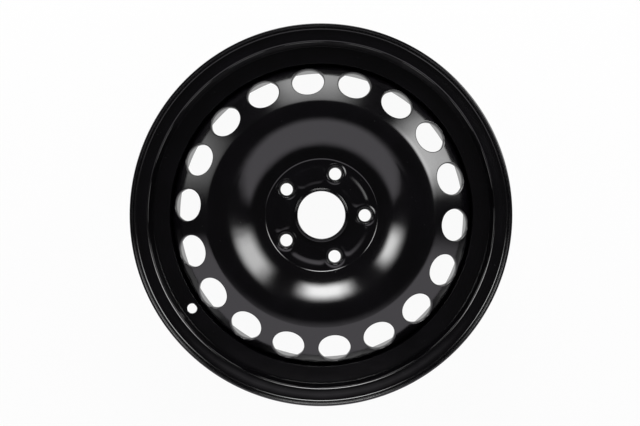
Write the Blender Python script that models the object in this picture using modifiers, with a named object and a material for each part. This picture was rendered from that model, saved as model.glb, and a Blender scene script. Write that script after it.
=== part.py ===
"""Pressed steel car wheel, 17 by 7 inches, with a rolled drop-centre rim and one pressed disc.

The wheel lies on its inboard flange with its axis along +Z, so the street side looks up.
The origin is on the axis, in the plane of the inboard flange's edge. Units are metres.
"""
import math

import bmesh
import bpy
from mathutils import Matrix, Vector

INCH = 0.0254

# Rim, standard sizes measured on the tyre side
BEAD_RADIUS = 0.2183
BEAD_SPACING = 7.0 * INCH
FLANGE_HEIGHT = 0.0173
LIP_WIDTH = 0.0131
CURL_RADIUS = 0.0095
HEEL_RADIUS = 0.0065
SEAT_TAPER = math.radians(5.0)
SEAT_LENGTH = 0.0172
HUMP_RISE = 0.0006
HUMP_DISTANCE = 0.0249
RIM_SHEET = 0.0027
RIM_SMALLEST_FILLET = 0.0030
LARGEST_FILLET_SHARE = 0.9

# Drop-centre well
WELL_DEPTH = 0.0207
WELL_WALL_TILT = math.radians(10.0)
WELL_FLOOR_LENGTH = 0.0565
WELL_TOP_FILLET = 0.0075
WELL_FOOT_FILLET = 0.0050
REAR_WALL_SLOPE = math.radians(28.0)
REAR_LEDGE_DEPTH = 0.0093
REAR_FILLET = 0.0120

# Valve hole in the well's street-side wall
VALVE_HOLE_RADIUS = 0.0063
VALVE_FLAT_EDGE = 0.0025
VALVE_FLAT_MARGIN = 0.0011
VALVE_ANGLE = math.radians(215.9)

# Pressed disc
DISC_SHEET = 0.0050
WHEEL_OFFSET = 0.0390
BORE_RADIUS = 0.0317
COLLAR_WALL = 0.0030
COLLAR_HEIGHT = 0.0065
COLLAR_FRONT_FILLET = 0.0035
COLLAR_REAR_FILLET = 0.0050
HUB_EDGE_MARGIN = 0.00235
HUB_CORNER_FILLET = 0.0060
DISH_WALL_SLOPE = math.radians(45.0)
CROWN_HEIGHT = 0.0310
CROWN_INNER_FILLET = 0.0690
CROWN_FLAT_WIDTH = 0.0027
CROWN_OUTER_FILLET = 0.0330
VENT_CONE_SLOPE = math.radians(20.0)
SHOULDER_FILLET = 0.0137
SKIRT_LENGTH = 0.0205
DISC_TO_RIM_CLEARANCE = 0.0003

# Vents
VENT_COUNT = 18
VENT_WIDTH = 0.0418
VENT_SLANT_LENGTH = 0.0362
VENT_INNER_MARGIN = 0.0128
VENT_FIRST_ANGLE = math.radians(15.7)

# Bolt seats and the relief pads pressed between them
BOLT_COUNT = 5
BOLT_CIRCLE_RADIUS = 0.05715
BOLT_FIRST_ANGLE = math.radians(-0.4)
BOLT_HOLE_RADIUS = 0.0080
BOLT_SEAT_WIDTH = 0.0028
BOLT_SEAT_HALF_ANGLE = math.radians(30.0)
BOSS_LAND_WIDTH = 0.0012
BOSS_SLOPE_WIDTH = 0.0022
BOSS_HEIGHT = 0.0018
PAD_WIDTH = 0.0165
PAD_INSET = 0.0034
PAD_HALF_ANGLE = math.radians(20.5)
PAD_CORNER_RADIUS = 0.0060
PAD_LARGEST_CORNER_SHARE = 0.45
PAD_HEIGHT = 0.0016
PAD_EDGE_SLOPE_WIDTH = 0.0014

# Fillet welds between the skirt's edge and the well floor
WELD_COUNT = 8
WELD_ARC = math.radians(28.0)
WELD_FIRST_ANGLE = math.radians(22.5)
WELD_LEG = 0.0050
WELD_BULGE = 0.62
WELD_CLEARANCE = 0.0003
WELD_STEPS = 5

# Facets
TURNED_STEPS = 48
VENT_STEPS = 20
HOLE_STEPS = 18
PAD_OUTER_STEPS = 5
PAD_INNER_STEPS = 4
PAD_CORNER_STEPS = 2
MERGE_DISTANCE = 0.00001
CUT_MARGIN = 0.0100

# Places worked out from the sizes above, with heights over the inboard flange's edge
FLANGE_RADIUS = BEAD_RADIUS + FLANGE_HEIGHT
RIM_WIDTH = BEAD_SPACING + 2 * LIP_WIDTH
REAR_FACE = LIP_WIDTH
FRONT_FACE = RIM_WIDTH - LIP_WIDTH
HUMP_RADIUS = BEAD_RADIUS - SEAT_LENGTH * math.tan(SEAT_TAPER) + HUMP_RISE
SEAT_END_RADIUS = BEAD_RADIUS - SEAT_LENGTH * math.tan(SEAT_TAPER)
WELL_RADIUS = BEAD_RADIUS - WELL_DEPTH
WELL_FRONT = FRONT_FACE - HUMP_DISTANCE
WELL_FLOOR_FRONT = WELL_FRONT - (HUMP_RADIUS - WELL_RADIUS) * math.tan(WELL_WALL_TILT)
WELL_FLOOR_REAR = WELL_FLOOR_FRONT - WELL_FLOOR_LENGTH
LEDGE_RADIUS = BEAD_RADIUS - REAR_LEDGE_DEPTH
LEDGE_FRONT = WELL_FLOOR_REAR - (LEDGE_RADIUS - WELL_RADIUS) / math.tan(REAR_WALL_SLOPE)
WELL_INNER_RADIUS = WELL_RADIUS - RIM_SHEET
VALVE_FLAT_RADIUS = VALVE_HOLE_RADIUS + VALVE_FLAT_EDGE
VALVE_RADIUS_FROM_AXIS = WELL_INNER_RADIUS + VALVE_FLAT_MARGIN + VALVE_FLAT_RADIUS

BOLT_SEAT_RADIUS = BOLT_HOLE_RADIUS + BOLT_SEAT_WIDTH
BOSS_TOP_RADIUS = BOLT_SEAT_RADIUS + BOSS_LAND_WIDTH
BOSS_FOOT_RADIUS = BOSS_TOP_RADIUS + BOSS_SLOPE_WIDTH
PAD_INNER_RADIUS = BOLT_CIRCLE_RADIUS - PAD_INSET - PAD_WIDTH / 2
PAD_OUTER_RADIUS = PAD_INNER_RADIUS + PAD_WIDTH
PAD_CORNER = min(PAD_CORNER_RADIUS, PAD_LARGEST_CORNER_SHARE * PAD_WIDTH)

HUB_FLAT_CORNER_RADIUS = BOLT_CIRCLE_RADIUS + BOSS_FOOT_RADIUS + HUB_EDGE_MARGIN
HUB_REAR = RIM_WIDTH / 2 + WHEEL_OFFSET
HUB_FRONT = HUB_REAR + DISC_SHEET
CROWN_TOP = HUB_FRONT + CROWN_HEIGHT
CROWN_INNER_CORNER_RADIUS = HUB_FLAT_CORNER_RADIUS + CROWN_HEIGHT / math.tan(DISH_WALL_SLOPE)
CROWN_FLAT_START = CROWN_INNER_CORNER_RADIUS + CROWN_INNER_FILLET * math.tan(DISH_WALL_SLOPE / 2)
CROWN_FLAT_END = CROWN_FLAT_START + CROWN_FLAT_WIDTH
CROWN_OUTER_CORNER_RADIUS = CROWN_FLAT_END + CROWN_OUTER_FILLET * math.tan(VENT_CONE_SLOPE / 2)
VENT_INNER_RADIUS = CROWN_OUTER_CORNER_RADIUS + VENT_INNER_MARGIN
VENT_RADIUS_FROM_AXIS = VENT_INNER_RADIUS + VENT_SLANT_LENGTH / 2 * math.cos(VENT_CONE_SLOPE)
SKIRT_RADIUS = WELL_INNER_RADIUS - DISC_TO_RIM_CLEARANCE
SHOULDER_DROP = (SKIRT_RADIUS - CROWN_OUTER_CORNER_RADIUS) * math.tan(VENT_CONE_SLOPE)
SHOULDER_HEIGHT = CROWN_TOP - SHOULDER_DROP
SHOULDER_TURN = math.pi / 2 - VENT_CONE_SLOPE
SKIRT_TOP = SHOULDER_HEIGHT - SHOULDER_FILLET * math.tan(SHOULDER_TURN / 2)
SKIRT_END = SKIRT_TOP - SKIRT_LENGTH


def point_at(radius, angle, height):
    """Point at a distance from the wheel's axis."""
    return Vector((radius * math.cos(angle), radius * math.sin(angle), height))


def rounded_path(corners):
    """Points along a line through corners of (radius, height, fillet, steps)."""
    points = []
    for index, (radius, height, fillet, steps) in enumerate(corners):
        corner = Vector((radius, height))
        if fillet == 0:
            points.append(corner)
            continue
        before = Vector(corners[index - 1][:2]) - corner
        after = Vector(corners[index + 1][:2]) - corner
        half_angle = before.angle(after) / 2
        room = LARGEST_FILLET_SHARE * min(before.length, after.length)
        fillet = min(fillet, room * math.tan(half_angle))
        before.normalize()
        after.normalize()
        centre = corner + (before + after).normalized() * fillet / math.sin(half_angle)
        start = corner + before * fillet / math.tan(half_angle) - centre
        turn = math.pi - 2 * half_angle
        side = 1 if before.x * after.y - before.y * after.x < 0 else -1
        for step in range(steps + 1):
            angle = side * turn * step / steps
            spoke = Vector((
                start.x * math.cos(angle) - start.y * math.sin(angle),
                start.x * math.sin(angle) + start.y * math.cos(angle),
            ))
            points.append(centre + spoke)
    return points


def offset_path(points, distance):
    """The same line moved to the right of its direction by a sheet's thickness."""
    moved = []
    for index, point in enumerate(points):
        before = point - points[index - 1] if index > 0 else None
        after = points[index + 1] - point if index < len(points) - 1 else None
        before = (before or after).normalized()
        after = (after or before).normalized()
        middle = (before + after).normalized()
        normal = Vector((middle.y, -middle.x))
        moved.append(point + normal * distance / middle.dot(before))
    return moved


def paint(name, colour, roughness):
    """Principled material of the wheel's black coating."""
    material = bpy.data.materials.new(name)
    material.use_nodes = True
    shader = material.node_tree.nodes["Principled BSDF"]
    shader.inputs["Base Color"].default_value = (*colour, 1.0)
    shader.inputs["Roughness"].default_value = roughness
    shader.inputs["Metallic"].default_value = 0.0
    material.diffuse_color = (*colour, 1.0)
    return material


def add_object(name, mesh, collection):
    """Object for a mesh, in one of the two collections."""
    thing = bpy.data.objects.new(name, mesh)
    collection.objects.link(thing)
    return thing


def turned_solid(name, outline, collection):
    """Closed outline of (radius, height) points turned about the axis by a Screw modifier."""
    mesh = bpy.data.meshes.new(name)
    vertices = [(point.x, 0.0, point.y) for point in outline]
    edges = [(index, (index + 1) % len(outline)) for index in range(len(outline))]
    mesh.from_pydata(vertices, edges, [])
    solid = add_object(name, mesh, collection)
    screw = solid.modifiers.new("turn", "SCREW")
    screw.axis = "Z"
    screw.steps = TURNED_STEPS
    screw.render_steps = TURNED_STEPS
    screw.use_merge_vertices = True
    screw.merge_threshold = MERGE_DISTANCE
    return solid


def hide_cutter(cutter):
    """Mark a cutter as a construction aid."""
    cutter.hide_render = True
    cutter.display_type = "WIRE"


def cone_mesh(name, foot_radius, top_radius, height, steps, matrix):
    """Cone or cylinder standing on its foot circle, moved by a matrix."""
    mesh = bpy.data.meshes.new(name)
    shape = bmesh.new()
    bmesh.ops.create_cone(
        shape, cap_ends=True, segments=steps, radius1=foot_radius, radius2=top_radius, depth=height,
        matrix=matrix @ Matrix.Translation((0.0, 0.0, height / 2)),
    )
    shape.to_mesh(mesh)
    shape.free()
    return mesh


def join_meshes(name, meshes, collection):
    """One object from several separate closed meshes."""
    shape = bmesh.new()
    for mesh in meshes:
        shape.from_mesh(mesh)
        bpy.data.meshes.remove(mesh)
    joined = bpy.data.meshes.new(name)
    shape.to_mesh(joined)
    shape.free()
    return add_object(name, joined, collection)


def boolean(target, tool, operation):
    """Exact Boolean modifier on a target."""
    modifier = target.modifiers.new(tool.name, "BOOLEAN")
    modifier.operation = operation
    modifier.object = tool
    modifier.solver = "EXACT"
    hide_cutter(tool)


def around_axis(count, first_angle):
    """Turning matrices for a pattern about the wheel's axis."""
    return [
        Matrix.Rotation(first_angle + index * 2 * math.pi / count, 4, "Z")
        for index in range(count)
    ]


def rim_outline():
    """Section of the rim sheet, tyre side first and then back along the inner side."""
    tyre_side = rounded_path([
        (FLANGE_RADIUS, RIM_WIDTH, 0, 0),
        (FLANGE_RADIUS, FRONT_FACE, CURL_RADIUS, 3),
        (BEAD_RADIUS, FRONT_FACE, HEEL_RADIUS, 3),
        (SEAT_END_RADIUS, FRONT_FACE - SEAT_LENGTH, 0, 0),
        (HUMP_RADIUS, WELL_FRONT, WELL_TOP_FILLET, 3),
        (WELL_RADIUS, WELL_FLOOR_FRONT, WELL_FOOT_FILLET, 2),
        (WELL_RADIUS, WELL_FLOOR_REAR, REAR_FILLET, 1),
        (LEDGE_RADIUS, LEDGE_FRONT, REAR_FILLET, 1),
        (HUMP_RADIUS, REAR_FACE + HUMP_DISTANCE, RIM_SMALLEST_FILLET, 1),
        (SEAT_END_RADIUS, REAR_FACE + SEAT_LENGTH, 0, 0),
        (BEAD_RADIUS, REAR_FACE, HEEL_RADIUS, 3),
        (FLANGE_RADIUS, REAR_FACE, CURL_RADIUS, 3),
        (FLANGE_RADIUS, 0.0, 0, 0),
    ])
    inner_side = offset_path(tyre_side, RIM_SHEET)
    return tyre_side + inner_side[::-1]


def valve_matrix():
    """Place and tilt of the valve's flat, on the visible side of the well's front wall."""
    drop = (HUMP_RADIUS - VALVE_RADIUS_FROM_AXIS) * math.tan(WELL_WALL_TILT)
    height = WELL_FRONT - drop + RIM_SHEET / math.cos(WELL_WALL_TILT)
    place = Matrix.Translation(point_at(VALVE_RADIUS_FROM_AXIS, VALVE_ANGLE, height))
    turn = Matrix.Rotation(VALVE_ANGLE, 4, "Z")
    tilt = Matrix.Rotation(-WELL_WALL_TILT, 4, "Y")
    return place @ turn @ tilt


def make_rim(parts, cutters):
    """Rolled rim with a coined flat and a hole for the valve."""
    rim = turned_solid("rim", rim_outline(), parts)
    place = valve_matrix()
    behind = place @ Matrix.Translation((0.0, 0.0, -RIM_SHEET))
    flat = cone_mesh("valve_flat", VALVE_FLAT_RADIUS, VALVE_FLAT_RADIUS, RIM_SHEET, HOLE_STEPS, behind)
    flat = add_object("valve_flat", flat, cutters)
    clear = cone_mesh("valve_clear", VALVE_FLAT_RADIUS, VALVE_FLAT_RADIUS, RIM_SHEET, HOLE_STEPS, place)
    clear = add_object("valve_clear", clear, cutters)
    start = place @ Matrix.Translation((0.0, 0.0, -CUT_MARGIN))
    hole = cone_mesh("valve_hole", VALVE_HOLE_RADIUS, VALVE_HOLE_RADIUS, 2 * CUT_MARGIN, HOLE_STEPS, start)
    hole = add_object("valve_hole", hole, cutters)
    boolean(rim, flat, "UNION")
    boolean(rim, clear, "DIFFERENCE")
    boolean(rim, hole, "DIFFERENCE")
    return rim


def disc_outline():
    """Section of the disc: collar, hub flat, dish wall, crown, vent cone, shoulder and skirt."""
    hub_middle = (BORE_RADIUS + HUB_FLAT_CORNER_RADIUS) / 2
    street_side = rounded_path([
        (hub_middle, HUB_FRONT, 0, 0),
        (HUB_FLAT_CORNER_RADIUS, HUB_FRONT, HUB_CORNER_FILLET, 2),
        (CROWN_INNER_CORNER_RADIUS, CROWN_TOP, CROWN_INNER_FILLET, 5),
        (CROWN_OUTER_CORNER_RADIUS, CROWN_TOP, CROWN_OUTER_FILLET, 2),
        (SKIRT_RADIUS, SHOULDER_HEIGHT, SHOULDER_FILLET, 4),
        (SKIRT_RADIUS, SKIRT_END, 0, 0),
    ])
    car_side = offset_path(street_side, DISC_SHEET)
    collar_radius = BORE_RADIUS + COLLAR_WALL
    collar_top = HUB_FRONT + COLLAR_HEIGHT
    collar = rounded_path([
        (hub_middle, HUB_REAR, 0, 0),
        (BORE_RADIUS, HUB_REAR, COLLAR_REAR_FILLET, 2),
        (BORE_RADIUS, collar_top, 0, 0),
        (collar_radius, collar_top, 0, 0),
        (collar_radius, HUB_FRONT, COLLAR_FRONT_FILLET, 2),
        (hub_middle, HUB_FRONT, 0, 0),
    ])
    return street_side[1:] + car_side[::-1] + collar[1:-1]


def vent_cutters(cutters):
    """Oval punches square to the vent cone."""
    drop = (VENT_RADIUS_FROM_AXIS - CROWN_OUTER_CORNER_RADIUS) * math.tan(VENT_CONE_SLOPE)
    place = Matrix.Translation((VENT_RADIUS_FROM_AXIS, 0.0, CROWN_TOP - drop))
    tilt = Matrix.Rotation(VENT_CONE_SLOPE, 4, "Y")
    start = Matrix.Translation((0.0, 0.0, -2 * CUT_MARGIN))
    oval = Matrix.Diagonal((VENT_SLANT_LENGTH / 2, VENT_WIDTH / 2, 1.0, 1.0))
    punches = [
        cone_mesh("vent", 1.0, 1.0, 3 * CUT_MARGIN, VENT_STEPS, turn @ place @ tilt @ start @ oval)
        for turn in around_axis(VENT_COUNT, VENT_FIRST_ANGLE)
    ]
    return join_meshes("vent_punches", punches, cutters)


def pad_outline(inner_radius, outer_radius, half_angle, corner_radius):
    """Kidney shape about the +X direction: two arcs about the axis with rounded ends."""
    quarter = math.pi / 2
    outer_turn = half_angle - corner_radius / (outer_radius - corner_radius)
    inner_turn = half_angle - corner_radius / (inner_radius + corner_radius)
    outer_arc = [
        point_at(outer_radius, outer_turn * (2 * step / PAD_OUTER_STEPS - 1), 0.0)
        for step in range(PAD_OUTER_STEPS + 1)
    ]
    inner_arc = [
        point_at(inner_radius, inner_turn * (1 - 2 * step / PAD_INNER_STEPS), 0.0)
        for step in range(PAD_INNER_STEPS + 1)
    ]
    end = []
    outer_centre = point_at(outer_radius - corner_radius, outer_turn, 0.0)
    inner_centre = point_at(inner_radius + corner_radius, inner_turn, 0.0)
    for step in range(1, PAD_CORNER_STEPS + 1):
        angle = outer_turn + quarter * step / PAD_CORNER_STEPS
        end.append(outer_centre + point_at(corner_radius, angle, 0.0))
    for step in range(PAD_CORNER_STEPS):
        angle = inner_turn + quarter + quarter * step / PAD_CORNER_STEPS
        end.append(inner_centre + point_at(corner_radius, angle, 0.0))
    other_end = [Vector((point.x, -point.y, 0.0)) for point in reversed(end)]
    return outer_arc + end + inner_arc + other_end


def pad_solids(name, foot_height, top_height, edge_width, collection):
    """Solid kidney pads with sloped sides, one between each two bolts."""
    foot = pad_outline(
        PAD_INNER_RADIUS - edge_width, PAD_OUTER_RADIUS + edge_width,
        PAD_HALF_ANGLE + edge_width / PAD_OUTER_RADIUS, PAD_CORNER + edge_width,
    )
    top = pad_outline(PAD_INNER_RADIUS, PAD_OUTER_RADIUS, PAD_HALF_ANGLE, PAD_CORNER)
    between_bolts = BOLT_FIRST_ANGLE + math.pi / BOLT_COUNT
    shape = bmesh.new()
    for turn in around_axis(BOLT_COUNT, between_bolts):
        rings = []
        for outline, height in ((foot, foot_height), (top, top_height)):
            lift = Matrix.Translation((0.0, 0.0, height))
            rings.append([shape.verts.new(turn @ lift @ point) for point in outline])
        for index in range(len(foot)):
            after = (index + 1) % len(foot)
            shape.faces.new((rings[0][index], rings[0][after], rings[1][after], rings[1][index]))
        shape.faces.new(rings[0][::-1])
        shape.faces.new(rings[1])
    bmesh.ops.recalc_face_normals(shape, faces=shape.faces)
    mesh = bpy.data.meshes.new(name)
    shape.to_mesh(mesh)
    shape.free()
    return add_object(name, mesh, collection)


def bolt_meshes(name, foot_radius, top_radius, foot_height, top_height):
    """Cones or cylinders on the bolt circle."""
    place = Matrix.Translation((BOLT_CIRCLE_RADIUS, 0.0, foot_height))
    height = top_height - foot_height
    return [
        cone_mesh(name, foot_radius, top_radius, height, HOLE_STEPS, turn @ place)
        for turn in around_axis(BOLT_COUNT, BOLT_FIRST_ANGLE)
    ]


def make_disc(parts, cutters):
    """Pressed disc with vents, relief pads, coined bolt bosses and conical seats."""
    disc = turned_solid("disc", disc_outline(), parts)
    sunk = DISC_SHEET / 2
    pads = pad_solids(
        "relief_pads", HUB_FRONT - sunk, HUB_FRONT + PAD_HEIGHT,
        PAD_EDGE_SLOPE_WIDTH * (1 + sunk / PAD_HEIGHT), cutters,
    )
    pockets = pad_solids("relief_pockets", HUB_REAR - sunk, HUB_REAR + PAD_HEIGHT, 0.0, cutters)
    boss_top = HUB_FRONT + BOSS_HEIGHT
    boss_spread = (BOSS_FOOT_RADIUS - BOSS_TOP_RADIUS) * (1 + sunk / BOSS_HEIGHT)
    bosses = join_meshes(
        "bolt_bosses",
        bolt_meshes("boss", BOSS_TOP_RADIUS + boss_spread, BOSS_TOP_RADIUS, HUB_FRONT - sunk, boss_top),
        cutters,
    )
    seat_depth = (BOLT_SEAT_RADIUS - BOLT_HOLE_RADIUS) / math.tan(BOLT_SEAT_HALF_ANGLE)
    seat_mouth = BOLT_SEAT_RADIUS + CUT_MARGIN * math.tan(BOLT_SEAT_HALF_ANGLE)
    seats = join_meshes(
        "bolt_seats",
        bolt_meshes("seat", BOLT_HOLE_RADIUS, seat_mouth, boss_top - seat_depth, boss_top + CUT_MARGIN),
        cutters,
    )
    holes = join_meshes(
        "bolt_holes",
        bolt_meshes("hole", BOLT_HOLE_RADIUS, BOLT_HOLE_RADIUS, HUB_REAR - CUT_MARGIN, boss_top),
        cutters,
    )
    boolean(disc, pads, "UNION")
    boolean(disc, bosses, "UNION")
    boolean(disc, pockets, "DIFFERENCE")
    boolean(disc, seats, "DIFFERENCE")
    boolean(disc, holes, "DIFFERENCE")
    boolean(disc, vent_cutters(cutters), "DIFFERENCE")
    return disc


def weld_mesh():
    """Fillet weld with a rounded face, spun through its arc from the XZ plane."""
    facet_radius = WELL_INNER_RADIUS * math.cos(math.pi / TURNED_STEPS)
    floor_radius = facet_radius - WELD_CLEARANCE
    edge_height = SKIRT_END - WELD_CLEARANCE
    section = [
        (floor_radius, edge_height),
        (floor_radius, edge_height - WELD_LEG),
        (floor_radius - WELD_BULGE * WELD_LEG, edge_height - WELD_BULGE * WELD_LEG),
        (floor_radius - WELD_LEG, edge_height),
    ]
    shape = bmesh.new()
    face = shape.faces.new([shape.verts.new((radius, 0.0, height)) for radius, height in section])
    bmesh.ops.spin(
        shape, geom=[face], cent=(0.0, 0.0, 0.0), axis=(0.0, 0.0, 1.0), angle=WELD_ARC,
        steps=WELD_STEPS, use_duplicate=False,
    )
    bmesh.ops.recalc_face_normals(shape, faces=shape.faces)
    mesh = bpy.data.meshes.new("weld_bead")
    shape.to_mesh(mesh)
    shape.free()
    return mesh


def make_welds(parts):
    """Fillet welds between the skirt's edge and the well floor, evenly spaced."""
    mesh = weld_mesh()
    mesh.materials.append(paint("weld_paint", (0.005, 0.005, 0.006), 0.30))
    for index, turn in enumerate(around_axis(WELD_COUNT, WELD_FIRST_ANGLE - WELD_ARC / 2)):
        bead = add_object(f"weld_bead_{index + 1}", mesh, parts)
        bead.matrix_world = turn


def main():
    """Model the wheel in an emptied scene."""
    for thing in list(bpy.data.objects):
        bpy.data.objects.remove(thing, do_unlink=True)
    parts = bpy.data.collections.new("car_wheel")
    cutters = bpy.data.collections.new("cutters")
    bpy.context.scene.collection.children.link(parts)
    bpy.context.scene.collection.children.link(cutters)
    rim = make_rim(parts, cutters)
    disc = make_disc(parts, cutters)
    make_welds(parts)
    rim.data.materials.append(paint("rim_paint", (0.004, 0.004, 0.005), 0.18))
    disc.data.materials.append(paint("disc_paint", (0.004, 0.004, 0.005), 0.18))


main()
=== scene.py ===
"""Fine form, coating and stage of a pressed steel car wheel, laid out as a Blender add-on.

The wheel lies on its inboard flange with its axis along +Z and its street side up. Units are metres.
"""

import math

import bmesh
import bpy
import numpy as np
from bpy.props import FloatProperty, FloatVectorProperty, IntProperty, PointerProperty
from mathutils import Matrix, Vector


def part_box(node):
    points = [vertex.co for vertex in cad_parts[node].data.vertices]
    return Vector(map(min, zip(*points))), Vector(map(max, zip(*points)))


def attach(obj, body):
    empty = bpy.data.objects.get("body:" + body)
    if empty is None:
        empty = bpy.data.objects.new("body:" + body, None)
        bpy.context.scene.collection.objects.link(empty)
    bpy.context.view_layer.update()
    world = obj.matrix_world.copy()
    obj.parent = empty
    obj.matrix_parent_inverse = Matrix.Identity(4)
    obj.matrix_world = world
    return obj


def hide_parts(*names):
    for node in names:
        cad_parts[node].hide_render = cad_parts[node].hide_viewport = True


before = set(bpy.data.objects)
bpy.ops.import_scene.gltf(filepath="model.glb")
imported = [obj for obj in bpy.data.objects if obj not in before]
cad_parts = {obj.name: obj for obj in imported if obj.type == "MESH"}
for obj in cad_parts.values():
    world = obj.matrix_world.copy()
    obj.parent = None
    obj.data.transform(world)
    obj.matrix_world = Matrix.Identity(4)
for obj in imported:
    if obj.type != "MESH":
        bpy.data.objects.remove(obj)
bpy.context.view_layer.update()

bl_info = {
    "name": "Pressed Steel Wheel",
    "version": (1, 0, 0),
    "blender": (4, 5, 0),
    "location": "3D View > Sidebar > Wheel",
    "description": "Builds a coated steel wheel: rolled rim, pressed disc, welds and stage",
    "category": "Object",
}

FLANGE_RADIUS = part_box("rim")[1].x
RIM_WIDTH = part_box("rim")[1].z
CROWN_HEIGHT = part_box("disc")[1].z
SKIRT_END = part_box("disc")[0].z

IMAGE_WIDTH = 640

# Fineness of the outlines and the rings
ARC_STEP = math.radians(1.5)
LINE_STEP = 0.0005
GUARD_STEP = 0.00006
ROW_GAP = 0.0055
ROW_TURN = math.radians(7.0)
TIGHT_FILLET = 0.0040
COLUMNS = 270

# Rim contour, from the street-side flange to the inboard one
FLANGE_HEIGHT = 0.0173
LIP_WIDTH = 0.0131
CURL_RADIUS = 0.0095
HEEL_RADIUS = 0.0065
SEAT_TAPER = math.radians(0.5)
SEAT_LENGTH = 0.0172
HUMP_RISE = 0.0006
HUMP_DISTANCE = 0.0249
HUMP_FILLET = 0.0080
WELL_WALL_TILT = math.radians(5.5)
WELL_TOP_FILLET = 0.0075
WELL_FOOT_FILLET = 0.0050
WELL_FLOOR_LENGTH = 0.0583
REAR_LEDGE_DEPTH = 0.0093
REAR_WALL_SLOPE = math.radians(28.0)
REAR_FILLET = 0.0120

# Places where the rim's street side isn't parallel to its tyre side
LIP_EDGE_WIDTH = 0.0034
STREET_CORNER_FILLET = 0.0030
STREET_FACE = (0.2210, 0.2260)
STREET_FACE_LEAN = math.radians(2.5)
STREET_FACE_SLOPE = math.radians(7.0)
STREET_FACE_FILLET = 0.0500
STREET_SEAT_FILLET = 0.0002
STREET_WELL_FILLET = 0.0001

# Valve hole and the flat round it
VALVE_FROM_WELL = 0.0099
VALVE_FLAT_EDGE = 0.0025
VALVE_BAND_MARGIN = 0.0005
VALVE_COLUMNS = 6
VALVE_ROWS = 10
VALVE_EDGE_ROUNDINGS = (0.0006, 0.0004)
FLAT_STEPS = (0.15, 0.3, 0.42, 0.52, 0.61, 0.69, 0.77, 0.85, 0.93)
FLAT_BLEND = (0.5, 0.97)

# Disc contour, from the bore's collar to the skirt
DISH_DEPTH = 0.0310
COLLAR_WALL = 0.0030
COLLAR_HEIGHT = 0.0065
COLLAR_FRONT_FILLET = 0.0015
COLLAR_REAR_FILLET = 0.0050
HUB_CORNER_RADIUS = 0.0737
HUB_CORNER_FILLET = 0.0035
DISH_BEND = (0.0966, 0.0115, 0.1130)
CROWN_INNER_RADIUS = 0.1251
CROWN_INNER_FILLET = 0.0640
CROWN_OUTER_RADIUS = 0.1452
CROWN_OUTER_FILLET = 0.0160
VENT_CONE_SLOPE = math.radians(20.0)
SHOULDER_FILLET = 0.0105
RIM_CLEARANCE = 0.0003

# Bolt seats, bosses and pads of the hub
BOLTS = 5
BOLT_COLUMNS = 22
BOLT_ROWS = 30
BOLT_BAND = (0.0395, 0.0705)
SEAT_HALF_ANGLE = math.radians(30.0)
BOSS_TOP_RADIUS = 0.0113
BOSS_TOP_BLEND = 0.0012
BOSS_FOOT_RADIUS = 0.0143
BOSS_FOOT_MARGIN = 0.0009
MOUTH_EDGE = 0.0002
SEAT_END_EDGE = 0.0003
HOLE_REAR_EDGE = 0.0005
PAD_MIDDLE = 0.0530
PAD_HALF_WIDTH = 0.0120
PAD_HALF_ANGLE = math.radians(24.5)
PAD_CORNER = 0.0090
PAD_SHOULDER = 0.0060
PAD_SHOULDER_POWER = 1.5
POCKET_INSET = 0.0022
FOOT_BLEND = 0.0003

# Vents
VENTS = 18
VENT_ROWS = 12
VENT_MIDDLE = 0.1739
VENT_BAND = (0.1490, 0.1932)
WEB_STEPS = (0.16, 0.32, 0.47, 0.61, 0.74, 0.86, 0.94)
FRONT_EDGE_ROUNDING = 0.0010
REAR_EDGE_ROUNDING = 0.0005

# Weld beads
WELD_STEPS = 140
WELD_FACE_POINTS = 13
WELD_ROOT = 0.0006
WELD_CROWN = 0.12
WELD_END_SHARE = 0.25
WELD_WANDER = 0.00035
WELD_WANDER_STEPS = 24
WELD_SEED = 410
RIPPLE_LAG = 1.1
RIPPLE_MIDDLE = 0.6

# Coating
THIN_COATING = 2.2
DUST_COLOUR = (0.012, 0.011, 0.011, 1.0)

# Floor and surroundings
FLOOR_HALF_SIZE = 6.0
FLOOR_DROP = 0.0002
FLOOR_COLOUR = 0.9
HORIZON_BAND = (0.02, 0.10)

# Camera: its place beside the wheel's axis, and how far the picture's frame is shifted in pixels
CAMERA_ASIDE = (0.009, -0.005)
FRAME_SHIFT = (-8.3, 5.8)

# Soft cards: name, azimuth, brightness and, in degrees, where the light fades to the sides of that
# azimuth, where it rises off the wheel's axis and where it falls again farther from it
CARDS = (
    ("card_right", 31.0, 6.0, (6.0, 25.0), (18.6, 40.5), (49.0, 69.5)),
    ("card_top", 94.0, 10.8, (8.0, 25.0), (32.0, 50.0), (55.0, 68.5)),
    ("card_left", 155.0, 7.8, (4.0, 20.0), (32.0, 54.0), (56.5, 66.7)),
)
CARD_TILT = math.radians(46.0)
CARD_DISTANCE = 1.2
CARD_HALF_WIDTH = 0.62
CARD_HALF_LENGTH = 0.72
CARD_AIM = 0.165

# Grey panel: where its light fades, from its own middle, and far from the wheel's axis
PANEL_MIDDLE = -2.35
PANEL_HEIGHT = 1.8
PANEL_HALF_WIDTH = 3.6
PANEL_HALF_LENGTH = 2.2
PANEL_NEAR = (1.60, 2.15)
PANEL_SIDES = (2.4, 3.5)
PANEL_FAR = (2.2, 4.0)
PANEL_COLOUR = (0.97, 0.93, 1.0, 1.0)

# Dark scrims between the vents and the cards: name, azimuths, and share let through near and far
# from the axis
SCRIMS = (
    ("scrim_top", (62.0, 127.0), (0.15, 0.37)),
    ("scrim_left", (127.0, 185.0), (0.09, 0.20)),
)
SCRIM_CHANGE = (0.235, 0.305)
SCRIM_HEIGHT = 0.26
SCRIM_RADII = (0.165, 0.36)
SCRIM_COLUMNS = 32


def unit(vector):
    """Vector of length one."""
    return vector / np.linalg.norm(vector)


def smooth_step(value, low, high):
    """Smooth rise from nought at low to one at high."""
    share = np.clip((value - low) / (high - low), 0.0, 1.0)
    return share * share * (3.0 - 2.0 * share)


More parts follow.
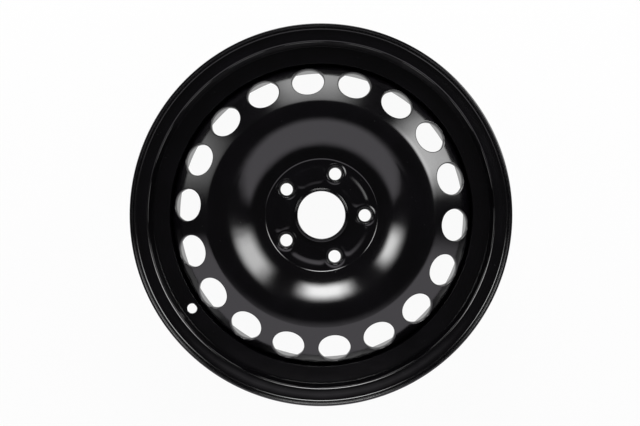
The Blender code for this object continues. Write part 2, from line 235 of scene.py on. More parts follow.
def soft_greater(first, second, blend):
    """Greater of two heights with a rounded valley between them."""
    return (first + second + np.sqrt((first - second) ** 2 + blend * blend)) / 2


def wrapped(angle):
    """Angle between minus half a turn and half a turn."""
    return (angle + math.pi) % (2 * math.pi) - math.pi


def around(radius, height, angle):
    """Points at a radius, height and angle about the wheel's axis."""
    radius, height, angle = np.broadcast_arrays(radius, height, angle)
    return np.stack((radius * np.cos(angle), radius * np.sin(angle), height), axis=-1)


def beside(corners, distance):
    """Corners of the line that runs on the right of an open one, with concentric fillets."""
    points = [np.array(corner[:2]) for corner in corners]
    last = len(points) - 1
    moved = []
    for index, point in enumerate(points):
        before = unit(points[max(index, 1)] - points[max(index, 1) - 1])
        after = unit(points[min(index, last - 1) + 1] - points[min(index, last - 1)])
        middle = unit(before + after)
        place = point + np.array((middle[1], -middle[0])) * distance / (middle @ before)
        turn = before[0] * after[1] - before[1] * after[0]
        moved.append((*place, corners[index][2] + distance * np.sign(round(float(turn), 6))))
    return moved


class Outline:
    """Closed section of a turned piece, from corners of (radius, height, fillet), steel on the right."""

    def __init__(self, corners):
        points, normals = [], []
        count = len(corners)
        for index, (radius, height, fillet) in enumerate(corners):
            corner = np.array((radius, height))
            before = unit(np.array(corners[index - 1][:2]) - corner)
            after = unit(np.array(corners[(index + 1) % count][:2]) - corner)
            half_angle = math.acos(max(-1.0, min(1.0, float(before @ after)))) / 2
            side = 1.0 if before[0] * after[1] - before[1] * after[0] < 0 else -1.0
            centre = corner + unit(before + after) * fillet / math.sin(half_angle)
            spoke = (corner + before * fillet / math.tan(half_angle) - centre) / fillet
            turn = math.pi - 2 * half_angle
            if points:
                self.add_line(points, normals, centre + spoke * fillet)
            for angle in np.linspace(0.0, side * turn, max(2, math.ceil(turn / ARC_STEP)) + 1):
                turned = np.array((
                    spoke[0] * math.cos(angle) - spoke[1] * math.sin(angle),
                    spoke[0] * math.sin(angle) + spoke[1] * math.cos(angle),
                ))
                points.append(centre + turned * fillet)
                normals.append(-side * turned)
        self.add_line(points, normals, points[0])
        points.append(points[0])
        normals.append(normals[0])
        points = np.array(points)
        normals = np.array(normals)
        lengths = np.linalg.norm(np.diff(points, axis=0), axis=1)
        turns = np.linalg.norm(np.diff(normals, axis=0), axis=1)
        arc = turns > 1e-6
        tight = arc & (lengths < TIGHT_FILLET * ARC_STEP)
        guard = ~arc & (np.roll(tight, 1) | np.roll(tight, -1))
        self.distance = np.concatenate(([0.0], np.cumsum(lengths)))
        self.effort = np.concatenate(
            ([0.0], np.cumsum(lengths / ROW_GAP + turns / ROW_TURN + guard)))
        self.columns = (points[:, 0], points[:, 1], normals[:, 0], normals[:, 1])

    @staticmethod
    def add_line(points, normals, end):
        """Points along the straight that leads to the next arc, with one hard by each end."""
        start = points[-1]
        length = float(np.linalg.norm(end - start))
        if length < 4 * GUARD_STEP:
            return
        normal = normals[-1]
        shares = np.linspace(0.0, 1.0, int(length / LINE_STEP) + 2)[1:-1]
        for share in (GUARD_STEP / length, *shares, 1.0 - GUARD_STEP / length):
            points.append(start + (end - start) * share)
            normals.append(normal)

    @property
    def length(self):
        """Length once round the section."""
        return float(self.distance[-1])

    def at(self, distance):
        """Radius, height and outward normal at distances along the outline."""
        return [np.interp(distance, self.distance, column) for column in self.columns]

    def nearest(self, radius, height):
        """Distance along the outline of the place nearest to a point."""
        gaps = np.hypot(self.columns[0] - radius, self.columns[1] - height)
        return float(self.distance[int(np.argmin(gaps))])

    def rows(self, start, end):
        """Distances from start to end, closer together where the outline turns."""
        first, last = np.interp((start, end), self.distance, self.effort)
        count = max(1, math.ceil(abs(last - first)))
        return np.interp(np.linspace(first, last, count + 1), self.effort, self.distance)


class Plating:
    """Points and faces of one closed piece, gathered ring by ring."""

    def __init__(self):
        self.points = []
        self.faces = []

    def add(self, points):
        """Numbers of newly added points."""
        first = len(self.points)
        self.points.extend(np.asarray(points).tolist())
        return list(range(first, len(self.points)))

    def join(self, first, second):
        """Faces between two closed loops of as many points."""
        count = len(first)
        for index in range(count):
            after = (index + 1) % count
            self.faces.append((first[index], first[after], second[after], second[index]))

    def finish(self, name, material):
        """The piece as a smooth object with its faces turned outward."""
        mesh = bpy.data.meshes.new(name)
        mesh.from_pydata(self.points, [], self.faces)
        shape = bmesh.new()
        shape.from_mesh(mesh)
        bmesh.ops.recalc_face_normals(shape, faces=shape.faces)
        shape.to_mesh(mesh)
        shape.free()
        mesh.polygons.foreach_set("use_smooth", [True] * len(mesh.polygons))
        mesh.materials.append(material)
        piece = bpy.data.objects.new(name, mesh)
        bpy.context.scene.collection.objects.link(piece)
        return piece


class TurnedForm:
    """A turned sheet whose places are given by distance, angle and depth below its show side."""

    def __init__(self, outline, sheet):
        self.outline = outline
        self.sheet = sheet

    def place(self, distance, angle, depth=0.0):
        """Points in the sheet."""
        radius, height, normal_radius, normal_height = self.outline.at(distance)
        return around(radius - normal_radius * depth, height - normal_height * depth, angle)

    def far_end(self, distance):
        """Distance along the outline of the place on the sheet's other side."""
        radius, _, height = self.place(distance, 0.0, self.sheet)
        return self.outline.nearest(radius, height)

    def hole_loops(self, spots, angle):
        """Loops that line the hole at an angle, between its sector's edges on both sides."""
        raise NotImplementedError


def add_rings(plating, form, ring, distances, closing_ring, angles, closing_angles=None):
    """Plain rings along the outline, from one ring to the closing one."""
    closing_angles = angles if closing_angles is None else closing_angles
    last = len(distances) - 1
    for index, distance in enumerate(distances[1:-1], 1):
        turned = angles + (closing_angles - angles) * index / last
        next_ring = plating.add(form.place(distance, turned))
        plating.join(ring, next_ring)
        ring = next_ring
    plating.join(ring, closing_ring)


def add_band(plating, form, rings, distances, angles, sectors, depth):
    """Faces between two rings, open over each hole's columns, and the loop round each opening."""
    columns = len(angles)
    hidden = {(first + step) % columns for first, last in sectors for step in range(1, last - first)}
    skipped = {(first + step) % columns for first, last in sectors for step in range(last - first)}
    kept = [column for column in range(columns) if column not in hidden]
    rows = [dict(enumerate(rings[0]))]
    for distance in distances[1:-1]:
        rows.append(dict(zip(kept, plating.add(form.place(distance, angles[kept], depth)))))
    rows.append(dict(enumerate(rings[1])))
    for low, high in zip(rows, rows[1:]):
        for column in range(columns):
            after = (column + 1) % columns
            if column not in skipped:
                plating.faces.append((low[column], low[after], high[after], high[column]))
    top = len(rows) - 1
    loops = []
    for first, last in sectors:
        path = [(0, column) for column in range(first, last)]
        path += [(row, last) for row in range(top)]
        path += [(top, column) for column in range(last, first, -1)]
        path += [(row, first) for row in range(top, 0, -1)]
        numbers = [rows[row][column % columns] for row, column in path]
        spots = np.array([
            (distances[row], angles[column % columns] + 2 * math.pi * (column // columns))
            for row, column in path
        ])
        loops.append((numbers, spots))
    return loops


def add_holed_band(plating, form, rings, far_rings, distances, angles, sectors, centres):
    """Both sides of a band of the sheet, with a lined hole in each sector."""
    near = add_band(plating, form, rings, distances, angles, sectors, 0.0)
    far = add_band(plating, form, far_rings, distances, angles, sectors, form.sheet)
    for (numbers, spots), (far_numbers, _), centre in zip(near, far, centres):
        loops = [numbers]
        loops += [plating.add(points) for points in form.hole_loops(spots, centre)]
        loops.append(far_numbers)
        for first, second in zip(loops, loops[1:]):
            plating.join(first, second)


def edge_pairs(rounding, steps=5):
    """Pairs of (offset, depth) over a hole's rounded edge, from the surface to the wall."""
    turns = np.linspace(0.0, math.pi / 2, steps + 1)
    return [(rounding * (1 - math.sin(turn)), rounding * (1 - math.cos(turn))) for turn in turns]


def wall_pairs(sheet, front, rear):
    """Pairs of (offset, depth) through the whole sheet, with both edges rounded."""
    rear_pairs = [(offset, sheet - depth) for offset, depth in edge_pairs(rear, 3)]
    return edge_pairs(front) + [(0.0, sheet / 2)] + rear_pairs[::-1]


class RimForm(TurnedForm):
    """Rolled rim with a pressed flat for the valve."""

    def __init__(self, sizes):
        self.sizes = sizes
        sheet = sizes.sheet
        bead = FLANGE_RADIUS - FLANGE_HEIGHT
        front = RIM_WIDTH - LIP_WIDTH
        seat_end = bead - SEAT_LENGTH * math.tan(SEAT_TAPER)
        hump = seat_end + HUMP_RISE
        hump_height = front - HUMP_DISTANCE
        well = sizes.well_radius
        floor_front = hump_height - (hump - well) * math.tan(WELL_WALL_TILT)
        floor_rear = floor_front - WELL_FLOOR_LENGTH
        ledge = bead - REAR_LEDGE_DEPTH
        ledge_height = floor_rear - (ledge - well) / math.tan(REAR_WALL_SLOPE)
        tyre_side = [
            (FLANGE_RADIUS, RIM_WIDTH, sizes.lip_rounding),
            (FLANGE_RADIUS, front, CURL_RADIUS),
            (bead, front, HEEL_RADIUS),
            (seat_end, front - SEAT_LENGTH, HUMP_FILLET),
            (hump, hump_height, WELL_TOP_FILLET),
            (well, floor_front, WELL_FOOT_FILLET),
            (well, floor_rear, REAR_FILLET),
            (ledge, ledge_height, REAR_FILLET),
            (hump, LIP_WIDTH + HUMP_DISTANCE, HUMP_FILLET),
            (seat_end, LIP_WIDTH + SEAT_LENGTH, HUMP_FILLET),
            (bead, LIP_WIDTH, HEEL_RADIUS),
            (FLANGE_RADIUS, LIP_WIDTH, CURL_RADIUS),
            (FLANGE_RADIUS, 0.0, sizes.lip_rounding),
        ]
        street_side = beside(tyre_side, sheet)
        face = front + sheet
        lip = FLANGE_RADIUS - LIP_EDGE_WIDTH
        face_in, face_out = STREET_FACE
        face_top = face + (face_out - face_in) * math.tan(STREET_FACE_LEAN)
        rise = math.tan(STREET_FACE_SLOPE)
        street_side[:3] = [
            (lip, RIM_WIDTH, sizes.lip_rounding),
            (lip, face_top + (lip - face_out) * rise, STREET_CORNER_FILLET),
            (face_out, face_top, STREET_FACE_FILLET),
            (face_in, face, STREET_FACE_FILLET),
            (bead - sheet, face - (face_in - bead + sheet) * rise, STREET_CORNER_FILLET),
        ]
        seat_foot, well_corner = street_side[6][:2], street_side[7][:2]
        street_side[6] = (*seat_foot, STREET_SEAT_FILLET)
        street_side[7] = (*well_corner, STREET_WELL_FILLET)
        super().__init__(Outline(street_side[::-1] + tyre_side), sheet)
        # The five corners from the well to the bead, as distances on the street side and the tyre side
        self.marks = (
            [self.outline.nearest(*corner[:2]) for corner in street_side[8:3:-1]],
            [self.outline.nearest(*corner[:2]) for corner in tyre_side[6:1:-1]],
        )
        self.valve_radius = well - sheet + VALVE_FROM_WELL
        height = hump_height - (hump - self.valve_radius) * math.tan(WELL_WALL_TILT)
        height += sheet / math.cos(WELL_WALL_TILT)
        angle = sizes.valve_angle
        self.valve = around(self.valve_radius, height, angle)
        self.across = np.array((-math.sin(angle), math.cos(angle), 0.0))
        self.along = around(math.cos(WELL_WALL_TILT), math.sin(WELL_WALL_TILT), angle)
        self.normal = np.cross(self.along, self.across)
        self.band = (
            self.outline.nearest(*well_corner) + VALVE_BAND_MARGIN,
            self.outline.nearest(*seat_foot) - VALVE_BAND_MARGIN,
        )
        self.valve_distance = self.outline.nearest(self.valve_radius, height)

    def place(self, distance, angle, depth=0.0):
        """Points in the strip, on the way from the street side to the matching place on the tyre side."""
        near = super().place(distance, angle)
        if depth == 0.0:
            return near
        far = super().place(np.interp(distance, *self.marks), angle)
        return near + (far - near) * (depth / self.sheet)

    def pressed(self, points, depth):
        """The points moved onto the valve's flat, or onto a plane below it."""
        lift = (points - self.valve) @ self.normal + depth
        return points - lift[:, None] * self.normal

    def circle(self, turns, radius, depth):
        """Points about the valve hole's axis."""
        spokes = np.cos(turns)[:, None] * self.across + np.sin(turns)[:, None] * self.along
        return self.valve + spokes * radius - self.normal * depth

    def hole_loops(self, spots, angle):
        """Loops from the band onto the valve's flat, through the hole and back on the tyre side."""
        aside = wrapped(spots[:, 1] - angle) * self.valve_radius
        up = spots[:, 0] - self.valve_distance
        turns = np.unwrap(np.arctan2(up, aside))
        way = np.sign(turns[-1] - turns[0])
        even = turns[0] + way * np.arange(len(spots)) * 2 * math.pi / len(spots)
        turns = (turns + even) / 2
        flat = self.sizes.valve_hole_radius + VALVE_FLAT_EDGE
        target_aside = flat * np.cos(turns)
        target_up = flat * np.sin(turns)
        sides = []
        for depth in (0.0, self.sheet):
            side = []
            for share in FLAT_STEPS:
                points = self.place(
                    self.valve_distance + up + (target_up - up) * share,
                    angle + (aside + (target_aside - aside) * share) / self.valve_radius, depth)
                weight = smooth_step(share, *FLAT_BLEND)
                side.append(points + (self.pressed(points, depth) - points) * weight)
            side.append(self.circle(turns, flat, depth))
            sides.append(side)
        lining = [
            self.circle(turns, self.sizes.valve_hole_radius + offset, depth)
            for offset, depth in wall_pairs(self.sheet, *VALVE_EDGE_ROUNDINGS)
        ]
        return sides[0] + lining + sides[1][::-1]


def build_rim(sizes, material):
    """Rolled rim with curled flanges, drop-centre well and the valve hole in its flat."""
    form = RimForm(sizes)
    outline = form.outline
    plating = Plating()
    angles = sizes.valve_angle + np.radians(np.arange(COLUMNS) - VALVE_COLUMNS / 2) * 360 / COLUMNS
    start, end = form.band
    rings = [plating.add(form.place(distance, angles)) for distance in form.band]
    far_rings = [plating.add(form.place(distance, angles, form.sheet)) for distance in form.band]
    first = plating.add(form.place(0.0, angles))
    add_rings(plating, form, first, outline.rows(0.0, start), rings[0], angles)
    add_rings(plating, form, rings[1], outline.rows(end, form.far_end(end)), far_rings[1], angles)
    last_rows = outline.rows(form.far_end(start), outline.length)
    add_rings(plating, form, far_rings[0], last_rows, first, angles)
    distances = np.linspace(start, end, VALVE_ROWS + 1)
    add_holed_band(
        plating, form, rings, far_rings, distances, angles, [(0, VALVE_COLUMNS)], [sizes.valve_angle])
    return plating.finish("rolled_rim", material)


class DiscForm(TurnedForm):
    """Pressed disc with bolt bosses and pads on its hub and vents in its cone."""

    def __init__(self, sizes, well_inside):
        self.sizes = sizes
        sheet = sizes.sheet
        self.hub_front = CROWN_HEIGHT - DISH_DEPTH
        collar = sizes.bore_radius + COLLAR_WALL
        bend, below_crown, bend_fillet = DISH_BEND
        skirt = well_inside - RIM_CLEARANCE
        shoulder = CROWN_HEIGHT - (skirt - CROWN_OUTER_RADIUS) * math.tan(VENT_CONE_SLOPE)
        street_side = [
            (collar, self.hub_front, COLLAR_FRONT_FILLET),
            (HUB_CORNER_RADIUS, self.hub_front, HUB_CORNER_FILLET),
            (bend, CROWN_HEIGHT - below_crown, bend_fillet),
            (CROWN_INNER_RADIUS, CROWN_HEIGHT, CROWN_INNER_FILLET),
            (CROWN_OUTER_RADIUS, CROWN_HEIGHT, CROWN_OUTER_FILLET),
            (skirt, shoulder, SHOULDER_FILLET),
            (skirt, SKIRT_END, sizes.edge_rounding),
        ]
        car_side = beside(street_side, sheet)[::-1]
        top = self.hub_front + COLLAR_HEIGHT
        bore = [
            (sizes.bore_radius, self.hub_front - sheet, COLLAR_REAR_FILLET),
            (sizes.bore_radius, top, sizes.edge_rounding),
            (collar, top, sizes.edge_rounding),
        ]
        super().__init__(Outline(street_side + car_side[:-1] + bore), sheet)
        self.skirt_start = int(np.argmax(self.outline.columns[0]))
        self.vent_middle = self.street(VENT_MIDDLE)

    def street(self, radius):
        """Distance along the street side at a radius."""
        last = self.skirt_start
        return float(np.interp(
            radius, self.outline.columns[0][:last], self.outline.distance[:last]))

    def hub_lift(self, points, depth):
        """Height of the bosses and pads over the hub's flat, or of the pockets behind the pads."""
        radius = np.hypot(points[..., 0], points[..., 1])
        pitch = 2 * math.pi / BOLTS
        angle = np.arctan2(points[..., 1], points[..., 0])
        from_bolt = (angle - self.sizes.first_bolt_angle) % pitch
        from_pad = np.abs(from_bolt - pitch / 2)
        inset = POCKET_INSET * depth / self.sheet
        side_gap = radius * (from_pad - PAD_HALF_ANGLE) + PAD_CORNER + inset
        end_gap = np.abs(radius - PAD_MIDDLE) - PAD_HALF_WIDTH + PAD_CORNER + inset
        outside = np.hypot(np.maximum(side_gap, 0.0), np.maximum(end_gap, 0.0))
        distance = outside + np.minimum(np.maximum(side_gap, end_gap), 0.0) - PAD_CORNER
        share = np.clip((distance + PAD_SHOULDER) / PAD_SHOULDER, 0.0, 2.5)
        pad = self.sizes.pad_height * (1.0 - share ** PAD_SHOULDER_POWER)
        if depth > 0.0:
            return soft_greater(pad, 0.0, FOOT_BLEND)
        circle = self.sizes.bolt_circle_radius
        bolt_angle = np.minimum(from_bolt, pitch - from_bolt)
        gap = np.sqrt(radius ** 2 + circle ** 2 - 2 * radius * circle * np.cos(bolt_angle))
        share = np.clip((gap - BOSS_TOP_RADIUS) / (BOSS_FOOT_RADIUS - BOSS_TOP_RADIUS), 0.0, 3.0)
        boss = self.sizes.boss_height * (1.0 - share ** 2)
        lift = soft_greater(soft_greater(pad, boss, FOOT_BLEND), 0.0, FOOT_BLEND)
        seat = smooth_step(-gap, -BOSS_TOP_RADIUS - BOSS_TOP_BLEND, -BOSS_TOP_RADIUS)
        return lift + (self.sizes.boss_height - lift) * seat

    def place(self, distance, angle, depth=0.0):
        """Points in the sheet, lifted by the hub's bosses and pads."""
        points = super().place(distance, angle, depth)
        radius = np.hypot(points[..., 0], points[..., 1])
        if BOLT_BAND[0] < radius.min() + 1e-5 and radius.max() - 1e-5 < BOLT_BAND[1]:
            points[..., 2] += self.hub_lift(points, depth)
        return points

    def hole_loops(self, spots, angle):
        """Loops of a bolt hole near the hub, or of a vent farther out."""
        if spots[:, 0].max() < self.vent_middle / 2:
            return self.bolt_loops(spots, angle)
        return self.vent_loops(spots, angle)

    def bolt_loops(self, spots, angle):
        """Loops over a boss, down its conical seat and hole, and out over the hub's rear face."""
        sizes = self.sizes
        centre = around(sizes.bolt_circle_radius, 0.0, angle)
        corners = super().place(spots[:, 0], spots[:, 1])
        aside, up = (corners - centre)[:, 0], (corners - centre)[:, 1]
        reach = np.hypot(aside, up)
        mouth = sizes.bolt_seat_radius
        hole = sizes.bolt_hole_radius
        ring = np.minimum(reach * 0.97, BOSS_FOOT_RADIUS + BOSS_FOOT_MARGIN)
        top = self.hub_front + sizes.boss_height
        rear = self.hub_front - self.sheet
        slope = math.tan(SEAT_HALF_ANGLE)
        seat_end = top - (mouth - hole) / slope

        def loop(width, height, depth=None):
            points = centre + np.stack((aside / reach * width, up / reach * width, 0 * reach), axis=-1)
            points[:, 2] = height
            if depth is not None:
                points[:, 2] += self.hub_lift(points, depth)
            return points

        widths = [reach + (ring - reach) * share for share in (0.2, 0.4, 0.6, 0.8)]
        widths += [ring + (BOSS_TOP_RADIUS - ring) * share for share in np.linspace(0.0, 1.0, 11)]
        loops = [loop(width, self.hub_front, 0.0) for width in widths]
        for width, height in (
            (mouth + MOUTH_EDGE * 1.25, top - MOUTH_EDGE * 0.15),
            (mouth + MOUTH_EDGE * 0.25, top - MOUTH_EDGE * 0.7),
            (mouth - MOUTH_EDGE, top - MOUTH_EDGE / slope),
            ((mouth + hole) / 2, (top + seat_end) / 2),
            (hole + SEAT_END_EDGE, seat_end + SEAT_END_EDGE / slope),
            (hole + SEAT_END_EDGE / 6, seat_end + SEAT_END_EDGE / 6),
            (hole, seat_end - SEAT_END_EDGE * 4 / 3),
            (hole, rear + HOLE_REAR_EDGE),
            (hole + HOLE_REAR_EDGE * 0.3, rear + HOLE_REAR_EDGE * 0.3),
            (hole + HOLE_REAR_EDGE, rear),
        ):
            loops.append(loop(width, height))
        edge = hole + HOLE_REAR_EDGE
        shares = np.arange(1, 12) / 12
        loops += [loop(edge + (reach - edge) * share, rear, self.sheet) for share in shares]
        return loops

    def vent_loops(self, spots, angle):
        """Loops over the cone's web, round the vent's edge, through it and out over the rear face."""
        half_width = self.sizes.vent_half_width
        aside = wrapped(spots[:, 1] - angle) * self.outline.at(spots[:, 0])[0]
        up = spots[:, 0] - self.vent_middle
        height = np.where(up > 0, self.sizes.vent_outer_reach, self.sizes.vent_inner_reach)
        size = np.hypot(aside / half_width, up / height)
        start = np.stack((aside, up), axis=-1)
        contact = start / size[:, None]
        out = np.stack((contact[:, 0] / half_width ** 2, contact[:, 1] / height ** 2), axis=-1)
        out /= np.linalg.norm(out, axis=1)[:, None]
        front_edge = contact + out * FRONT_EDGE_ROUNDING
        rear_edge = contact + out * REAR_EDGE_ROUNDING
        cone = (math.cos(VENT_CONE_SLOPE), -math.sin(VENT_CONE_SLOPE))

        def loop(chart, depth):
            wanted = self.vent_middle + chart[:, 1]
            radius, height = self.outline.at(wanted)[:2]
            distance = wanted.copy()
            for _ in range(12):
                there = self.place(distance, 0.0, depth)
                slip = (there[:, 0] - radius) * cone[0] + (there[:, 2] - height) * cone[1]
                distance = distance - slip
            return self.place(distance, angle + chart[:, 0] / radius, depth)

        loops = [loop(start + (front_edge - start) * share, 0.0) for share in WEB_STEPS]
        for offset, depth in wall_pairs(self.sheet, FRONT_EDGE_ROUNDING, REAR_EDGE_ROUNDING):
            loops.append(loop(contact + out * offset, depth))
        rear = [loop(start + (rear_edge - start) * share, self.sheet) for share in WEB_STEPS[::2]]
        return loops + rear[::-1]


def build_disc(sizes, well_inside, material):
    """Pressed disc with its bore's collar, bolt seats, pads, vents and skirt."""
    form = DiscForm(sizes, well_inside)
    outline = form.outline
    plating = Plating()
    step = 2 * math.pi / COLUMNS
    vent_start = sizes.first_vent_angle - math.pi / VENTS
    shift = round((sizes.first_bolt_angle - vent_start) / step)
    bolt_angles = sizes.first_bolt_angle + np.arange(COLUMNS) * step
    vent_angles = vent_start + (np.arange(COLUMNS) + shift) * step
    bolt_ends = [form.street(radius) for radius in BOLT_BAND]
    vent_ends = [form.street(radius) for radius in VENT_BAND]
    bolt_rings = [plating.add(form.place(end, bolt_angles)) for end in bolt_ends]
    vent_rings = [plating.add(form.place(end, vent_angles)) for end in vent_ends]
    far_bolt_rings = [plating.add(form.place(end, bolt_angles, form.sheet)) for end in bolt_ends]
    far_vent_rings = [plating.add(form.place(end, vent_angles, form.sheet)) for end in vent_ends]
    first = plating.add(form.place(0.0, bolt_angles))
    add_rings(plating, form, first, outline.rows(0.0, bolt_ends[0]), bolt_rings[0], bolt_angles)
    add_rings(
        plating, form, bolt_rings[1], outline.rows(bolt_ends[1], vent_ends[0]), vent_rings[0],
        bolt_angles, vent_angles)
    add_rings(
        plating, form, vent_rings[1], outline.rows(vent_ends[1], form.far_end(vent_ends[1])),
        far_vent_rings[1], vent_angles)
    add_rings(
        plating, form, far_vent_rings[0],
        outline.rows(form.far_end(vent_ends[0]), form.far_end(bolt_ends[1])), far_bolt_rings[1],
        vent_angles, bolt_angles)
    add_rings(
        plating, form, far_bolt_rings[0], outline.rows(form.far_end(bolt_ends[0]), outline.length),
        first, bolt_angles)
    starts = [(COLUMNS // BOLTS * bolt - BOLT_COLUMNS // 2) % COLUMNS for bolt in range(BOLTS)]
    add_holed_band(
        plating, form, bolt_rings, far_bolt_rings, np.linspace(*bolt_ends, BOLT_ROWS + 1), bolt_angles,
        [(start, start + BOLT_COLUMNS) for start in starts],
        [sizes.first_bolt_angle + 2 * math.pi * bolt / BOLTS for bolt in range(BOLTS)])
    sector = COLUMNS // VENTS
    starts = [(sector * vent - shift) % COLUMNS for vent in range(VENTS)]
    add_holed_band(
        plating, form, vent_rings, far_vent_rings, np.linspace(*vent_ends, VENT_ROWS + 1), vent_angles,
        [(start, start + sector) for start in starts],
        [sizes.first_vent_angle + 2 * math.pi * vent / VENTS for vent in range(VENTS)])
    return plating.finish("pressed_disc", material)


def build_weld(sizes, index, corner_radius, corner_height, material):
    """One rippled fillet bead that ties the skirt's edge to the well."""
    plating = Plating()
    middle = sizes.first_angle + index * 2 * math.pi / sizes.count
    face = np.linspace(0.0, math.pi / 2, WELD_FACE_POINTS)
    chord = sizes.leg / (np.cos(face) + np.sin(face))
    random = np.random.default_rng(WELD_SEED + index)
    mean = np.ones(WELD_WANDER_STEPS) / WELD_WANDER_STEPS
    wander = np.convolve(random.normal(0.0, 1.0, WELD_STEPS + WELD_WANDER_STEPS), mean, "same")
    wander = wander[WELD_WANDER_STEPS // 2:] * WELD_WANDER
    length = sizes.span * corner_radius
    rings = []
    for step in range(WELD_STEPS + 1):
        along = step / WELD_STEPS * length
        angle = middle + (step / WELD_STEPS - 0.5) * sizes.span
        end_gap = min(along, length - along) / sizes.leg
        taper = math.sqrt(max(0.0, 1.0 - (1.0 - min(1.0, end_gap)) ** 2))
        phase = along / sizes.ripple_pitch * math.pi + RIPPLE_LAG * np.sin(2 * face)
        ripple = sizes.ripple_height * (np.abs(np.cos(phase)) - RIPPLE_MIDDLE)
        size = chord + (WELD_CROWN * sizes.leg + ripple) * np.sin(2 * face) + wander[step]
        size = size * (WELD_END_SHARE + (1.0 - WELD_END_SHARE) * taper)
        radius = corner_radius - np.sin(face) * size
        height = corner_height - np.cos(face) * size
        radius = [*radius, radius[-1], corner_radius + WELD_ROOT, corner_radius + WELD_ROOT]
        height = [*height, corner_height + WELD_ROOT, corner_height + WELD_ROOT, height[0]]
        rings.append(plating.add(around(np.array(radius), np.array(height), angle)))
    for first, second in zip(rings, rings[1:]):
        plating.join(first, second)
    for ring in (rings[0], rings[-1]):
        hub = plating.add([np.mean([plating.points[number] for number in ring], axis=0)])[0]
        for first, second in zip(ring, ring[1:] + ring[:1]):
            plating.faces.append((first, second, hub))
    return plating.finish(f"fillet_weld_{index + 1}", material)


class Signal:
    """Output of a shader node that can be used in sums, and from which further nodes are added."""

    def __init__(self, tree, socket=None):
        self.tree = tree
        self.socket = socket

    def node(self, kind, settings=None, sockets=None, output=0):
        """Signal from a new node of the same tree, with its settings made before its sockets."""
        made = self.tree.nodes.new(kind)
        for name, value in (settings or {}).items():
            setattr(made, name, value)
        for name, value in (sockets or {}).items():
            if isinstance(value, Signal):
                self.tree.links.new(value.socket, made.inputs[name])
            else:
                made.inputs[name].default_value = value
        return Signal(self.tree, made.outputs[output] if len(made.outputs) else None)

    def other(self, output):
        """Another output of the same node."""
        return Signal(self.tree, self.socket.node.outputs[output])

    def math(self, operation, first, second=0.0):
        """Signal from one Math node."""
        return self.node("ShaderNodeMath", {"operation": operation}, {0: first, 1: second})

    def step(self, low, high):
        """Smooth rise from nought at low to one at high."""
        return self.node(
            "ShaderNodeMapRange", {"interpolation_type": "SMOOTHSTEP"},
            {"Value": self, "From Min": low, "From Max": high, "To Min": 0.0, "To Max": 1.0})

    def blend(self, first, second):
        """Colour that goes from the first to the second as this value goes from nought to one."""
        return self.node("ShaderNodeMix", {"data_type": "RGBA"}, {0: self, 6: first, 7: second}, 2)

    def noise(self, scale, detail=2.0, roughness=0.5):
        """Noise between nought and one over this vector."""
        return self.node("ShaderNodeTexNoise", {}, {
            "Vector": self, "Scale": scale, "Detail": detail, "Roughness": roughness}, "Fac")

    def __add__(self, other):
        return self.math("ADD", self, other)

    __radd__ = __add__

    def __mul__(self, other):
        return self.math("MULTIPLY", self, other)

    __rmul__ = __mul__

    def __sub__(self, other):
        return self.math("SUBTRACT", self, other)

    def __rsub__(self, other):
        return self.math("SUBTRACT", other, self)


def node_tree(owner):
    """A signal that stands for the emptied node tree of a material or world."""
    owner.use_nodes = True
    owner.node_tree.nodes.clear()
    return Signal(owner.node_tree)


def grey(value):
    """Colour with three like channels."""
    return (value, value, value, 1.0)


def coating_material(name, looks, roll_marks, grit, seed):
    """Baked black dip coating over steel, with orange peel, faint working marks and dust."""
    material = bpy.data.materials.new(name)
    start = node_tree(material)
    here = start.node("ShaderNodeTexCoord", {}, {}, "Object")
    place = start.node("ShaderNodeVectorMath", {"operation": "ADD"}, {
        0: here, 1: (seed, -seed, 0.3 * seed)})
    x = start.node("ShaderNodeSeparateXYZ", {}, {"Vector": here}, "X")
    y = x.other("Y")
    rolled = start.node("ShaderNodeCombineXYZ", {}, {
        "X": start.math("SQRT", x * x + y * y) * 900.0,
        "Y": x.other("Z") * 900.0,
        "Z": start.math("ARCTAN2", y, x) * 1.6,
    }).noise(1.0, 3.0, 0.6)
    clouds = place.noise(24.0, 3.0, 0.55)
    swell = place.noise(42.0, 1.0, 0.4)
    sags = place.noise(130.0)
    peel = place.noise(620.0, 2.0, 0.55)
    specks = start.node("ShaderNodeTexVoronoi", {}, {"Vector": place, "Scale": 210.0}, "Distance")
    dust = (1.0 - specks.step(0.05, 0.12)) * place.noise(90.0, 1.0).step(0.60, 0.68)
    thin = tuple(channel * THIN_COATING for channel in looks.colour) + (1.0,)
    colour = (clouds.step(0.35, 0.72) * 0.6).blend((*looks.colour, 1.0), thin)
    colour = (dust * 0.5).blend(colour, DUST_COLOUR)
    roughness = clouds * 0.05 + rolled * (0.03 * roll_marks) + dust * 0.25 + (looks.roughness - 0.035)
    height = (peel * 0.35 + sags * 0.8) * looks.orange_peel + dust * 1.2
    if roll_marks > 0.0:
        height = height + rolled * (0.45 * roll_marks)
    if grit > 0.0:
        height = height + place.noise(1500.0, 3.0, 0.6) * (6.0 * grit)
    fine = start.node("ShaderNodeBump", {}, {"Strength": 0.35, "Distance": 0.00001, "Height": height})
    normal = start.node("ShaderNodeBump", {}, {
        "Strength": 0.6, "Distance": 0.00022, "Height": swell, "Normal": fine})
    surface = start.node("ShaderNodeBsdfPrincipled", {}, {
        "Base Color": colour, "Roughness": roughness, "Normal": normal,
        "Specular IOR Level": 1.0, "IOR": 1.5})
    start.node("ShaderNodeOutputMaterial", {}, {"Surface": surface})
    return material


